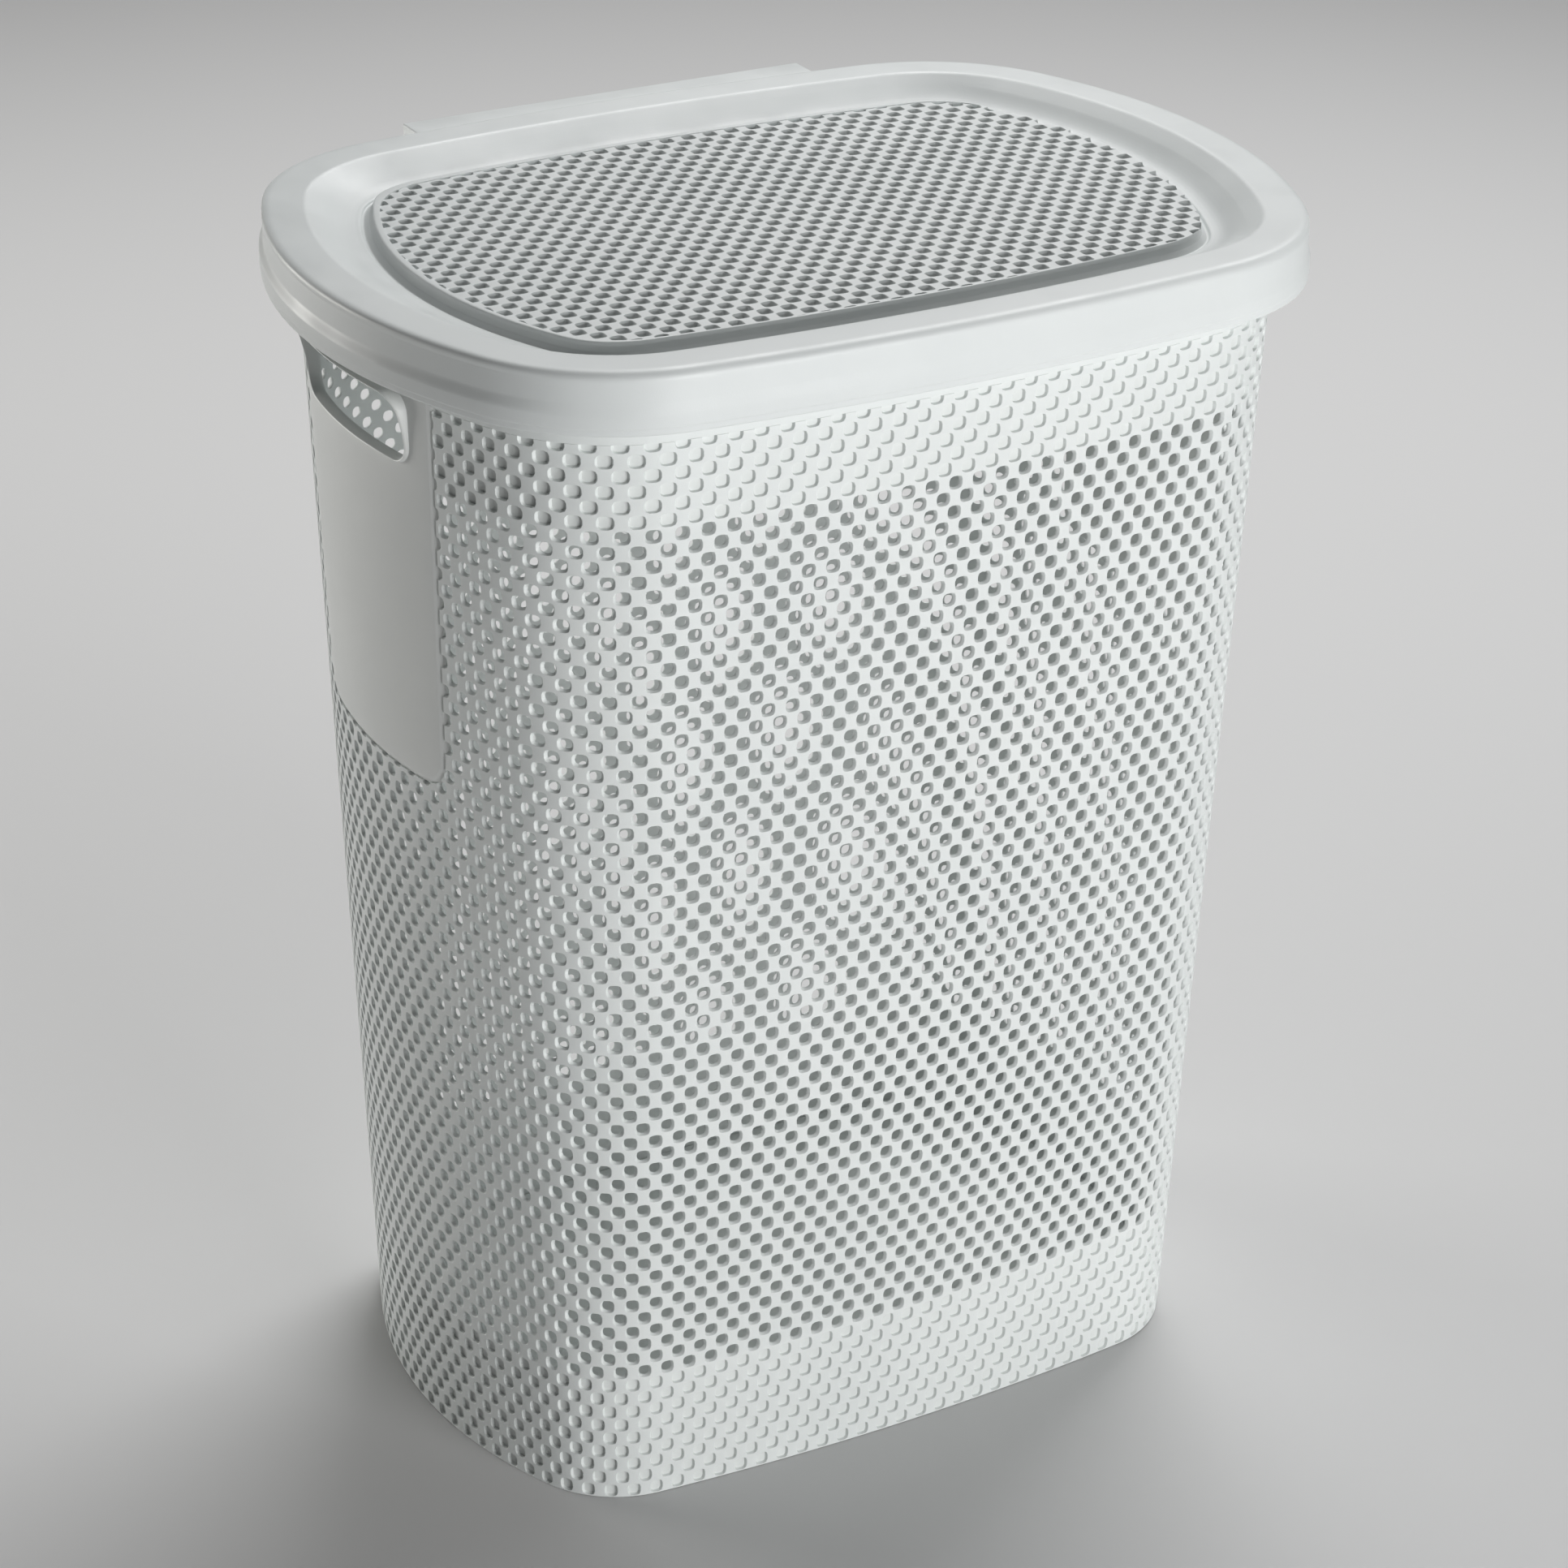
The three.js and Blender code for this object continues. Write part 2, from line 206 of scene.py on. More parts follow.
def shade(obj, sharp=40):
    """Smooth shading with crisp edges where the faces turn by more than "sharp" degrees."""
    obj.data.shade_smooth()
    obj.data.set_sharp_from_angle(angle=math.radians(sharp))


def crisp_flats(obj):
    """Shades by face area, so that the small bevels round the pits leave the flats flat."""
    modifier = obj.modifiers.new("crisp_flats", "WEIGHTED_NORMAL")
    modifier.mode = "FACE_AREA"
    modifier.keep_sharp = True


def cut(obj, cutter, operation, sharp=40):
    """Applies a boolean with the cutter, and removes the cutter."""
    modifier = obj.modifiers.new("cut", "BOOLEAN")
    modifier.operation = operation
    modifier.solver = "MANIFOLD"
    modifier.object = cutter
    evaluated = obj.evaluated_get(bpy.context.evaluated_depsgraph_get())
    mesh = bpy.data.meshes.new_from_object(evaluated)
    obj.modifiers.remove(modifier)
    old = obj.data
    obj.data = mesh
    bpy.data.meshes.remove(old)
    bpy.data.objects.remove(cutter)
    shade(obj, sharp)


def rounded(profile, radius, steps=4):
    """The closed profile with each corner rounded, by up to the radius."""
    profile = np.asarray(profile, float)
    out = []
    for i, corner in enumerate(profile):
        before = profile[i - 1] - corner
        after = profile[(i + 1) % len(profile)] - corner
        reach = min(radius, 0.45 * np.hypot(*before), 0.45 * np.hypot(*after))
        start = corner + before / np.hypot(*before) * reach
        end = corner + after / np.hypot(*after) * reach
        for t in np.linspace(0, 1, steps + 1):
            out.append((1 - t) ** 2 * start + 2 * t * (1 - t) * corner + t ** 2 * end)
    return np.array(out)


def end_share(angles):
    """1 along the two ends of the outline, falling to 0 half way round each corner."""
    fold = np.arctan2(np.abs(np.sin(angles)), np.abs(np.cos(angles)))
    share = np.clip(1 - 2 * (fold - END_ANGLE) / (FRONT_ANGLE - END_ANGLE), 0, 1)
    return share ** 2 * (3 - 2 * share)


def ring(name, profile, extra=lambda z: 0.0):
    """The closed profile of [inset, z], up the outside and down the inside, carried round.

    extra(z) is how much further in the two ends are.
    """
    angles = ring_angles()
    count = len(angles)
    points = []
    for inset, z in profile:
        x, y = outline(angles, inset + extra(z) * end_share(angles))
        points.append(np.column_stack([x, y, np.full(count, z)]))
    faces = []
    for row in range(len(profile)):
        low = row * count
        high = (row + 1) % len(profile) * count
        for i in range(count):
            j = (i + 1) % count
            faces.append((low + i, low + j, high + j, high + i))
    return solid_mesh(name, np.concatenate(points), faces)


def plug(name, side, shift=(0, 0)):
    """A solid with the outline's shape, its side through the [inset, z] points, lowest first."""
    angles = ring_angles()
    count = len(angles)
    points = []
    for inset, z in side:
        x, y = outline(angles, inset)
        points.append(np.column_stack([x + shift[0], y + shift[1], np.full(count, z)]))
    faces = [tuple(range(count))[::-1]]
    for row in range(len(side) - 1):
        low = row * count
        for i in range(count):
            j = (i + 1) % count
            faces.append((low + i, low + j, low + j + count, low + i + count))
    last = (len(side) - 1) * count
    faces.append(tuple(range(last, last + count)))
    return solid_mesh(name, np.concatenate(points), faces)


# ---- Weave ----

# A row is a course of brick-like cells, half a pitch out of step with its neighbours. Each cell has
# a pit or a hole in its middle. u counts cells along the row and v counts rows.

# Round a cell from its top left corner: down, right, up and left, in quarters of a cell.
CELL_EDGE = np.array(
    [(-2, i) for i in range(4)] + [(i - 2, 4) for i in range(4)]
    + [(2, 4 - i) for i in range(4)] + [(2 - i, 0) for i in range(4)]
)
SIDES = len(CELL_EDGE)
MOST_QUARTERS = 4096             # more quarter rows than any piece has


def pit_ring(half_width, half_height, corner):
    """Rounded rectangle in step with CELL_EDGE, in millimetres from the cell's middle."""
    points = []
    flat_width = half_width - corner
    flat_height = half_height - corner
    diagonal = corner * math.sqrt(0.5)
    for turn in range(4):
        sx, sy = [(-1, -1), (-1, 1), (1, 1), (1, -1)][turn]
        points.append((sx * (flat_width + diagonal), sy * (flat_height + diagonal)))
        if turn % 2 == 0:
            points += [(sx * half_width, sy * flat_height), (sx * half_width, 0),
                       (sx * half_width, -sy * flat_height)]
        else:
            points += [(sx * flat_width, sy * half_height), (0, sy * half_height),
                       (-sx * flat_width, sy * half_height)]
    return np.array(points)


def weave(name, rows, middles, is_open, place, pitch, row_height, thickness, shape, around=None):
    """A closed slab of woven cells. rows and middles give each cell's row and its middle along u.

    place(u, v, depth) turns cell coordinates into points. shape holds the pit's rings, outside in.
    around is how many cells a row has if it closes on itself.
    """
    edge_u = np.rint(4 * middles).astype(int)[:, None] + CELL_EDGE[:, 0]
    if around:
        edge_u = np.mod(edge_u, 4 * around)
    edge_v = 4 * rows[:, None] + CELL_EDGE[:, 1]
    keys, edge = np.unique(edge_u * MOST_QUARTERS + edge_v, return_inverse=True)
    edge = edge.reshape(len(rows), SIDES)
    corner_u = (keys // MOST_QUARTERS) / 4
    corner_v = (keys % MOST_QUARTERS) / 4
    count = len(keys)
    points = [place(corner_u, corner_v, 0.0), place(corner_u, corner_v, thickness)]
    total = 2 * count
    quads = []
    patches = []

    def add_ring(cells, size, depth):
        """Indices of a new ring of points round each cell's middle."""
        nonlocal total
        offsets = pit_ring(*size)
        u = middles[cells][:, None] + offsets[:, 0] / pitch
        v = rows[cells][:, None] + 0.5 + offsets[:, 1] / row_height
        points.append(place(u.ravel(), v.ravel(), depth))
        index = total + np.arange(u.size).reshape(u.shape)
        total += u.size
        return index

    def join(a, b):
        """Quads between two rings; a is the one outside when seen from the slab's face."""
        quads.append(np.stack([a, np.roll(a, -1, 1), np.roll(b, -1, 1), b], 2).reshape(-1, 4))

    for open_cells in (True, False):
        cells = np.flatnonzero(is_open == open_cells)
        if not len(cells):
            continue
        last = edge[cells]
        for size, depth in shape["lip"] + shape["open" if open_cells else "closed"]:
            inner = add_ring(cells, size, depth)
            join(last, inner)
            last = inner
        if open_cells:
            join(last, edge[cells] + count)
        else:
            patches += last.tolist()
            patches += (edge[cells] + count)[:, ::-1].tolist()
    # Close the slab along the edges that only one cell uses.
    start = edge.ravel()
    end = np.roll(edge, -1, 1).ravel()
    alone = ~np.isin(start * count + end, end * count + start)
    a, b = start[alone], end[alone]
    quads.append(np.stack([b, a, a + count, b + count], 1))
    faces = np.concatenate(quads).tolist() + patches
    return solid_mesh(name, np.concatenate(points), faces, sharp=50)


# Ring sizes are half width, half height and corner radius; depths are below the outer face.
WALL_PIT = {
    "lip": [((3.3, 3.2, 2.1), 0.0), ((3.12, 3.08, 1.9), 0.12), ((2.95, 2.95, 1.7), 0.45)],
    "open": [((2.6, 2.7, 1.9), 1.1), ((2.4, 2.5, 1.8), 1.8), ((2.55, 2.65, 1.9), WALL_THICKNESS)],
    "closed": [((2.6, 2.8, 1.3), 1.5), ((2.4, 2.6, 1.2), 1.65)],
}
WALL_PITCH = 11.2
WALL_ROW = 6.95


def row_height(v):
    """Height of a point v rows down the wall."""
    k = v - 0.5
    return ROW_TOP - ROW_STEP * k - ROW_GROWTH * k ** 2


def column_angle(u, z):
    """Normal angle of the outline u columns round from the +X end."""
    inset = wall_inset(z)
    quarter = COLUMNS / 4
    turn = np.floor(u / quarter)
    step = u / quarter - turn
    step = np.where(turn % 2 == 1, 1 - step, step)
    stretch = 1 - CORNER_STRETCH * z / SKIRT_BOTTOM
    end = (END_RADIUS - inset) * END_ANGLE
    corner = (CORNER_RADIUS - inset) * stretch * (FRONT_ANGLE - END_ANGLE)
    front = (FRONT_RADIUS - inset) * (math.pi / 2 - FRONT_ANGLE)
    run = step * (end + corner + front)
    angle = np.where(
        run < end,
        run / (END_RADIUS - inset),
        np.where(
            run < end + corner,
            END_ANGLE + (run - end) / ((CORNER_RADIUS - inset) * stretch),
            FRONT_ANGLE + (run - end - corner) / (FRONT_RADIUS - inset),
        ),
    )
    mirrored = np.where(turn % 2 == 1, math.pi / 2 - angle, angle)
    return mirrored + turn * math.pi / 2


def on_wall(u, v, depth):
    """Points u cells round and v rows down the wall, at a depth below its outer face."""
    z = np.clip(row_height(v), 0, WALL_TOP)
    x, y = outline(column_angle(u, z), wall_inset(z) + depth)
    return np.column_stack([x, y, z])


def panel_outline(grow, steps=6):
    """Handle panel's outline in (y, z), anticlockwise from its lower left, y from the middle."""
    corner = PANEL_CORNER + grow
    points = []
    for side in (-1, 1):
        end = np.array([side * (PANEL_HALF_BOTTOM + grow), PANEL_BOTTOM - grow])
        flat = end - [side * corner, 0]
        up = end + [0, corner]
        arc = [(1 - t) ** 2 * up + 2 * t * (1 - t) * end + t ** 2 * flat
               for t in np.linspace(0, 1, steps + 1)]
        points += arc if side < 0 else arc[::-1]
    top = PANEL_TOP + grow
    points.append(np.array([PANEL_HALF_TOP + grow, top]))
    points.append(np.array([-PANEL_HALF_TOP - grow, top]))
    return np.array(points)


def slot_outline(shrink, steps=8):
    """Hand slot's rounded rectangle in (y, z), anticlockwise."""
    half = SLOT_HALF - shrink
    low, high = SLOT_BOTTOM + shrink, SLOT_TOP - shrink
    corner = SLOT_CORNER - shrink
    points = []
    for quarter, (y, z) in enumerate([
        (half - corner, low + corner), (half - corner, high - corner),
        (-half + corner, high - corner), (-half + corner, low + corner),
    ]):
        for t in np.linspace(0, 1, steps + 1):
            angle = (quarter - 1 + t) * math.pi / 2
            points.append((y + corner * math.cos(angle), z + corner * math.sin(angle)))
    return np.array(points)


def resample(loop, spacing):
    """The closed loop with its long sides divided."""
    out = []
    for a, b in zip(loop, np.roll(loop, -1, 0)):
        parts = max(1, round(np.hypot(*(b - a)) / spacing))
        out += [a + (b - a) * i / parts for i in range(parts)]
    return np.array(out)


def on_end(side, y, z, depth):
    """Points of the left (-1) or right (+1) end, y from the middle, at a depth below its face."""
    radius = END_RADIUS - wall_inset(z) - depth
    x = END_CENTRE.x + np.sqrt(radius ** 2 - y ** 2)
    return np.column_stack([side * x, y + MIDDLE_Y, z])


def panel_cutter(side):
    """The handle panel's place, as a block right through one end wall."""
    loop = resample(panel_outline(-PANEL_LAP), 40)
    count = len(loop)
    ends = (PANEL_CUT_FROM, PANEL_CUT_TO)
    points = [(side * x, y + MIDDLE_Y, z) for x in ends for y, z in loop]
    faces = [tuple(range(count))[::-1], tuple(range(count, 2 * count))]
    faces += [(i, (i + 1) % count, (i + 1) % count + count, i + count) for i in range(count)]
    if side < 0:
        faces = [face[::-1] for face in faces]
    return solid_mesh("cutter", points, faces)


def woven_wall():
    """The perforated wall, in bands of rows, with the handle panels' places cut out."""
    bands = [("wall_band_top", range(0, OPEN_ROWS.start))]
    for number, start in enumerate(range(OPEN_ROWS.start, OPEN_ROWS.stop, BAND_ROWS), 1):
        bands.append((f"wall_band_{number}", range(start, start + BAND_ROWS)))
    bands.append(("wall_band_foot", range(OPEN_ROWS.stop, ROWS)))
    pieces = []
    for name, band in bands:
        rows = np.repeat(np.array(band), COLUMNS)
        middles = np.tile(np.arange(COLUMNS), len(band)) + 0.5 * (rows % 2)
        centre = on_wall(middles, rows + 0.5, 0.0)
        beside = np.abs(centre[:, 1] - MIDDLE_Y) > PANEL_HALF_BOTTOM - HIDDEN_MARGIN
        below = centre[:, 2] < PANEL_BOTTOM + HIDDEN_MARGIN
        keep = beside | below
        rows, middles = rows[keep], middles[keep]
        is_open = (rows >= OPEN_ROWS.start) & (rows < OPEN_ROWS.stop)
        obj = weave(name, rows, middles, is_open, on_wall, WALL_PITCH, WALL_ROW,
                    WALL_THICKNESS, WALL_PIT, around=COLUMNS)
        if band.start == 0:
            above = plug("cutter", [[0, COLLAR_BOTTOM], [0, LID_TOP]])
            cut(obj, above, "DIFFERENCE", sharp=50)
        if row_height(band.start) > PANEL_BOTTOM:
            for side in (-1, 1):
                cut(obj, panel_cutter(side), "DIFFERENCE", sharp=50)
        pieces.append(obj)
    return pieces


def wall_collar():
    """The plain top of the wall, above the weave."""
    low = COLLAR_BOTTOM
    outer = [wall_inset(low), low], [wall_inset(WALL_TOP), WALL_TOP]
    inner = [wall_inset(z) + WALL_THICKNESS for z in (WALL_TOP, low)]
    profile = [*outer, [inner[0], WALL_TOP], [inner[1], low]]
    collar = ring("wall_collar", rounded(profile, 0.3, 2))
    for side in (-1, 1):
        cut(collar, panel_cutter(side), "DIFFERENCE")
    return collar


# ---- Handle panel and bezel ----

# The border, from outside in: how far past the panel's outline, and the depth below the wall's face.
PANEL_EDGE = [(0.0, 1.5), (-0.15, 1.1), (-2.9, -0.35), (-3.6, -PANEL_PROUD)]
PANEL_BORDER = 7                 # no loose points are laid this close to the panel's outline
SLOT_MARGIN = 4                  # or this close to the slot
PANEL_STEP = (6.0, 12.0)         # between the points that carry the panel round the end's bow
PANEL_BACK = WALL_THICKNESS + 0.25


def handle_panel(side, name):
    """Smooth panel with a chamfered border and a hole for the grip bezel."""
    loops = [(resample(panel_outline(grow), 6), depth) for grow, depth in PANEL_EDGE]
    slot = slot_outline(PANEL_HOLE)
    loops.append((resample(slot, 6), -PANEL_PROUD))
    flat = []
    edges = []
    depths = []
    for loop, depth in loops:
        first = len(flat)
        flat += [Vector(p) for p in loop]
        depths += [depth] * len(loop)
        edges += [(first + i, first + (i + 1) % len(loop)) for i in range(len(loop))]
    inner = panel_outline(-PANEL_BORDER)
    half = SLOT_HALF + SLOT_MARGIN
    low, high = SLOT_BOTTOM - SLOT_MARGIN, SLOT_TOP + SLOT_MARGIN
    for y in np.arange(-PANEL_HALF_TOP, PANEL_HALF_TOP, PANEL_STEP[0]):
        for z in np.arange(PANEL_BOTTOM, PANEL_TOP, PANEL_STEP[1]):
            near_slot = abs(y) < half and low < z < high
            if inside(inner, (y, z)) and not near_slot:
                flat.append(Vector((y, z)))
                depths.append(-PANEL_PROUD)
    points, _, triangles, origins, _, _ = delaunay_2d_cdt(flat, edges, [], 0, 1e-4)
    depth = np.array([depths[o[0]] for o in origins])
    plane = np.array([tuple(p) for p in points])
    outer = panel_outline(0.0)
    kept = []
    for triangle in triangles:
        middle = plane[list(triangle)].mean(0)
        if inside(outer, middle) and not inside(slot, middle):
            kept.append(tuple(triangle))
    return slab(name, side, plane, depth, kept, PANEL_BACK)


def inside(loop, point):
    """True if the point lies in the closed loop."""
    y, z = point
    a = np.asarray(loop)
    b = np.roll(a, -1, 0)
    crossing = (a[:, 1] > z) != (b[:, 1] > z)
    rise = np.where(crossing, b[:, 1] - a[:, 1], 1)
    at = a[:, 0] + (z - a[:, 1]) / rise * (b[:, 0] - a[:, 0])
    return bool(np.sum(crossing & (y < at)) % 2)


def slab(name, side, plane, depth, triangles, back_depth):
    """A closed slab on one end wall, from triangles drawn in (y, z)."""
    count = len(plane)
    front = on_end(side, plane[:, 0], plane[:, 1], depth)
    back = on_end(side, plane[:, 0], plane[:, 1], np.full(count, back_depth))
    used = {}
    for t in triangles:
        for a, b in zip(t, t[1:] + t[:1]):
            used[a, b] = True
    faces = list(triangles) + [tuple(i + count for i in t[::-1]) for t in triangles]
    for a, b in used:
        if (b, a) not in used:
            faces.append((b, a, a + count, b + count))
    if side < 0:
        faces = [f[::-1] for f in faces]
    obj = solid_mesh(name, np.concatenate([front, back]), faces)
    mesh = bmesh.new()
    mesh.from_mesh(obj.data)
    bmesh.ops.delete(mesh, geom=[v for v in mesh.verts if not v.link_faces], context="VERTS")
    bmesh.ops.recalc_face_normals(mesh, faces=mesh.faces)
    mesh.to_mesh(obj.data)
    mesh.free()
    shade(obj)
    return obj


def grip_bezel(side, name):
    """Flared lip round the hand slot, standing out most along its top."""
    # Each step round the lip's section is how far in from the slot's outside, and how far
    # outwards: from the lip's tip, or from the wall's outer face.
    tip = [(0.0, 2.0), (0.1, 0.9), (0.4, 0.2), (0.8, 0.0), (1.2, 0.2), (1.5, 0.9), (1.8, 1.8)]
    root = [(2.4, WALL_THICKNESS), (2.2, 3.1), (1.6, 3.6), (0.9, 3.7), (0.2, 3.3), (0.0, 2.6)]
    section = [(shrink, back, True) for shrink, back in tip]
    section += [(shrink, depth, False) for shrink, depth in root]
    points = []
    for shrink, distance, at_tip in section:
        loop = resample_like(slot_outline(shrink), slot_outline(0), 6)
        height = (loop[:, 1] - SLOT_BOTTOM) / (SLOT_TOP - SLOT_BOTTOM)
        reach = BEZEL_REACH_BOTTOM + (BEZEL_REACH_TOP - BEZEL_REACH_BOTTOM) * height ** 2.5
        depth = distance - reach if at_tip else np.full(len(loop), float(distance))
        points.append(on_end(side, loop[:, 0], loop[:, 1], depth))
    count = len(points[0])
    faces = []
    for row in range(len(section)):
        low, high = row * count, (row + 1) % len(section) * count
        for i in range(count):
            j = (i + 1) % count
            faces.append((low + i, low + j, high + j, high + i))
    if side < 0:
        faces = [f[::-1] for f in faces]
    return solid_mesh(name, np.concatenate(points), faces)


def resample_like(loop, model, spacing):
    """Divides the loop's sides as often as the model's sides need."""
    out = []
    ends = zip(loop, np.roll(loop, -1, 0), model, np.roll(model, -1, 0))
    for a, b, model_a, model_b in ends:
        parts = max(1, round(np.hypot(*(model_b - model_a)) / spacing))
        out += [a + (b - a) * i / parts for i in range(parts)]
    return np.array(out)


# ---- Lid ----

def bend(controls, steps):
    """Points along the Bezier curve with those control points, both ends included."""
    out = []
    for t in np.linspace(0, 1, steps + 1):
        row = np.array(controls, float)
        while len(row) > 1:
            row = (1 - t) * row[:-1] + t * row[1:]
        out.append(tuple(row[0]))
    return out


def lid_surface(skin):
    """Lid from the top of the skirt's band, over the crown, to the foot of the dish.

    skin is the distance below the outside.
    """
    top = LID_TOP - skin
    side = skin + SIDE_INSET
    step = (WAIST_BOTTOM - BAND_TOP) / SIDE_STEPS
    crown_start = 0.3 + 1.3 * CROWN_RADIUS + skin / 2
    crown_end = CROWN_INSET + skin / 2
    dish = DISH_INSET - CROWN_INSET
    foot = DISH_BOTTOM - skin
    return [
        *[(skin + SIDE_DRAFT * t, BAND_TOP + step * t) for t in range(SIDE_STEPS + 1)],
        *bend([(side, LID_TOP - CROWN_RADIUS - 0.6), (side, top), (crown_start, top)], 8),
        *bend([(crown_end - 1.2, top), (crown_end, top), (crown_end + 1.1, top - 0.6)], 3),
        *bend([(crown_end + 0.12 * dish, top - 1.5), (crown_end + 0.45 * dish, foot + 4.4),
               (crown_end + 0.7 * dish, foot), (DISH_INSET, foot)], 10),
    ]


def waist(z):
    """How much further in the lid's ends are at height z: nothing at the skirt's band."""
    t = min(max((z - BAND_TOP) / (WAIST_BOTTOM - BAND_TOP), 0), 1)
    fade = min(max((LID_TOP - z) / CROWN_RADIUS, 0), 1)
    return WAIST_INSET * t * t * (3 - 2 * t) * fade


def lid_profile():
    """Section of the lid round its field, as [inset, z]: up the outside, then back underneath."""
    line = SKIRT_BOTTOM + SKIRT_LINE
    outside = [
        (0.6, SKIRT_BOTTOM), (0.2, SKIRT_BOTTOM + 0.6), (0.2, line), (0, line + 0.4),
        *lid_surface(0),
        (DISH_INSET + 0.6, DISH_BOTTOM - 1.0), (DISH_INSET + 1.6, DISH_BOTTOM - 1.1),
        (BEAD_INSET - 2.4, DISH_BOTTOM + 0.7), (BEAD_INSET - 1.9, DISH_BOTTOM + 1.1),
        (BEAD_INSET - 0.6, BEAD_TOP - 1.6), (BEAD_INSET - 0.2, BEAD_TOP - 0.3),
        (BEAD_INSET + 0.4, BEAD_TOP),
        (BORDER_INSET, BEAD_TOP),
    ]
    underside = [
        (LID_THICKNESS, SKIRT_BOTTOM),
        *lid_surface(LID_THICKNESS),
        (DISH_INSET + 2.2, DISH_BOTTOM - 3.2),
        (BEAD_INSET + 1.0, BEAD_TOP - LID_THICKNESS),
        (BORDER_INSET, BEAD_TOP - LID_THICKNESS),
    ]
    return outside + underside[::-1]


LID_PIT = {
    "lip": [((3.3, 3.2, 1.5), 0.0), ((3.1, 3.05, 1.4), 0.12), ((2.9, 2.9, 1.3), 0.5)],
    "open": [((2.5, 2.6, 1.2), 1.6), ((1.45, 1.35, 1.0), FIELD_THICKNESS)],
    "closed": [],
}


def on_field(u, v, depth):
    """Points u cells along and v rows across the lid's field, at a depth below its top."""
    x = u * LID_PITCH
    y = MIDDLE_Y + v * LID_ROW
    return np.column_stack([x, y, np.full(len(x), FIELD_TOP - depth)])


def lid_weave():
    """The woven field in the middle of the lid."""
    reach_x = math.ceil((HALF_LENGTH - FIELD_INSET) / LID_PITCH) + 1
    reach_y = math.ceil((HALF_DEPTH - FIELD_INSET) / LID_ROW) + 1
    rows = []
    middles = []
    for row in range(-reach_y, reach_y):
        for column in range(-reach_x, reach_x + 1):
            rows.append(row)
            middles.append(column + 0.5 * (row % 2))
    rows, middles = np.array(rows), np.array(middles)
    shift = 4 * reach_x
    # Only the cells that reach into the field are made.
    x, y = middles * LID_PITCH, (rows + 0.5) * LID_ROW
    loop = np.column_stack(outline(ring_angles(), FIELD_INSET - FIELD_MARGIN)) - [0, MIDDLE_Y]
    keep = np.array([inside(loop, p) for p in zip(x, y)])
    rows, middles = rows[keep], middles[keep]

    def place(u, v, depth):
        return on_field(u - shift, shift - v, depth)

    obj = weave("lid_weave", shift - 1 - rows, middles + shift, np.ones(len(rows), bool), place,
                LID_PITCH, LID_ROW, FIELD_THICKNESS, LID_PIT)
    cut(obj, field_cutter(0), "INTERSECT", sharp=50)
    return obj


def field_cutter(lap):
    """The woven field's outline, made smaller by the lap, as a block right through the lid."""
    inset = FIELD_INSET + lap
    low, high = SKIRT_BOTTOM, LID_TOP + LID_THICKNESS
    return plug("cutter", [[inset, low], [inset, high]], FIELD_SHIFT)


def rounded_block(name, corners, z0, z1, bevel):
    """An extruded polygon with its edges rounded."""
    mesh = bmesh.new()
    low = [mesh.verts.new((x * MM, y * MM, z0 * MM)) for x, y in corners]
    high = [mesh.verts.new((x * MM, y * MM, z1 * MM)) for x, y in corners]
    count = len(corners)
    mesh.faces.new(low[::-1])
    mesh.faces.new(high)
    for i in range(count):
        j = (i + 1) % count
        mesh.faces.new((low[i], low[j], high[j], high[i]))
    bmesh.ops.recalc_face_normals(mesh, faces=mesh.faces)
    if bevel:
        sharp = [e for e in mesh.edges if e.calc_face_angle(0) > math.radians(25)]
        bmesh.ops.bevel(mesh, geom=sharp, offset=bevel * MM, segments=4, profile=0.5,
                        affect="EDGES", clamp_overlap=True)
    data = bpy.data.meshes.new(name)
    mesh.to_mesh(data)
    mesh.free()
    obj = bpy.data.objects.new(name, data)
    bpy.context.collection.objects.link(obj)
    shade(obj)
    return obj


HOOD_WALL = 2.2
HOOD_REACH = 22                  # how far the hood is made under the lid's edge before it is cut
HOOD_ROOF = 2.5
HOOD_SINK = 0.4                  # how far it is let into the lid's edge
HOOD_STEP = 0.02                 # its top lies this far under the lid's


def hinge_hood():
    """Hollow box behind the lid that covers the hinges, let a little into the lid's edge."""
    half, back = hood_high.x, hood_high.y
    front = HALF_DEPTH + MIDDLE_Y - HOOD_REACH
    past = 5
    corners = [(-half, front), (half, front), (half, back), (-half, back)]
    hood = rounded_block("hinge_cover", corners, hood_low.z, LID_TOP - HOOD_STEP, 0.8)
    inner_half = half - HOOD_WALL
    hollow = [(-inner_half, front - past), (inner_half, front - past),
              (inner_half, back - HOOD_WALL), (-inner_half, back - HOOD_WALL)]
    room = rounded_block("cutter", hollow, hood_low.z - past, LID_TOP - HOOD_ROOF, 0)
    cut(hood, room, "DIFFERENCE")
    roll = WAIST_INSET + CROWN_RADIUS
    edge = [(inset + HOOD_SINK, z) for inset, z in lid_surface(0) if inset < roll]
    below = (HOOD_SINK, SKIRT_BOTTOM - 20)
    above = (roll + HOOD_SINK, LID_TOP + 20)
    cut(hood, plug("cutter", [below, *edge, above]), "DIFFERENCE")
    return hood


# ---- Materials ----

def noise(tree, scale, detail):
    """Fractal noise fixed to the object."""
    coords = tree.nodes.new("ShaderNodeTexCoord")
    node = tree.nodes.new("ShaderNodeTexNoise")
    node.inputs["Scale"].default_value = scale
    node.inputs["Detail"].default_value = detail
    tree.links.new(coords.outputs["Object"], node.inputs["Vector"])
    return node.outputs["Fac"]


def spread(tree, value, low, high, to_low, to_high):
    """The value with low to high stretched to to_low to to_high, and held there."""
    node = tree.nodes.new("ShaderNodeMapRange")
    for socket, number in zip(("From Min", "From Max", "To Min", "To Max"),
                              (low, high, to_low, to_high)):
        node.inputs[socket].default_value = number
    tree.links.new(value, node.inputs["Value"])
    return node.outputs["Result"]


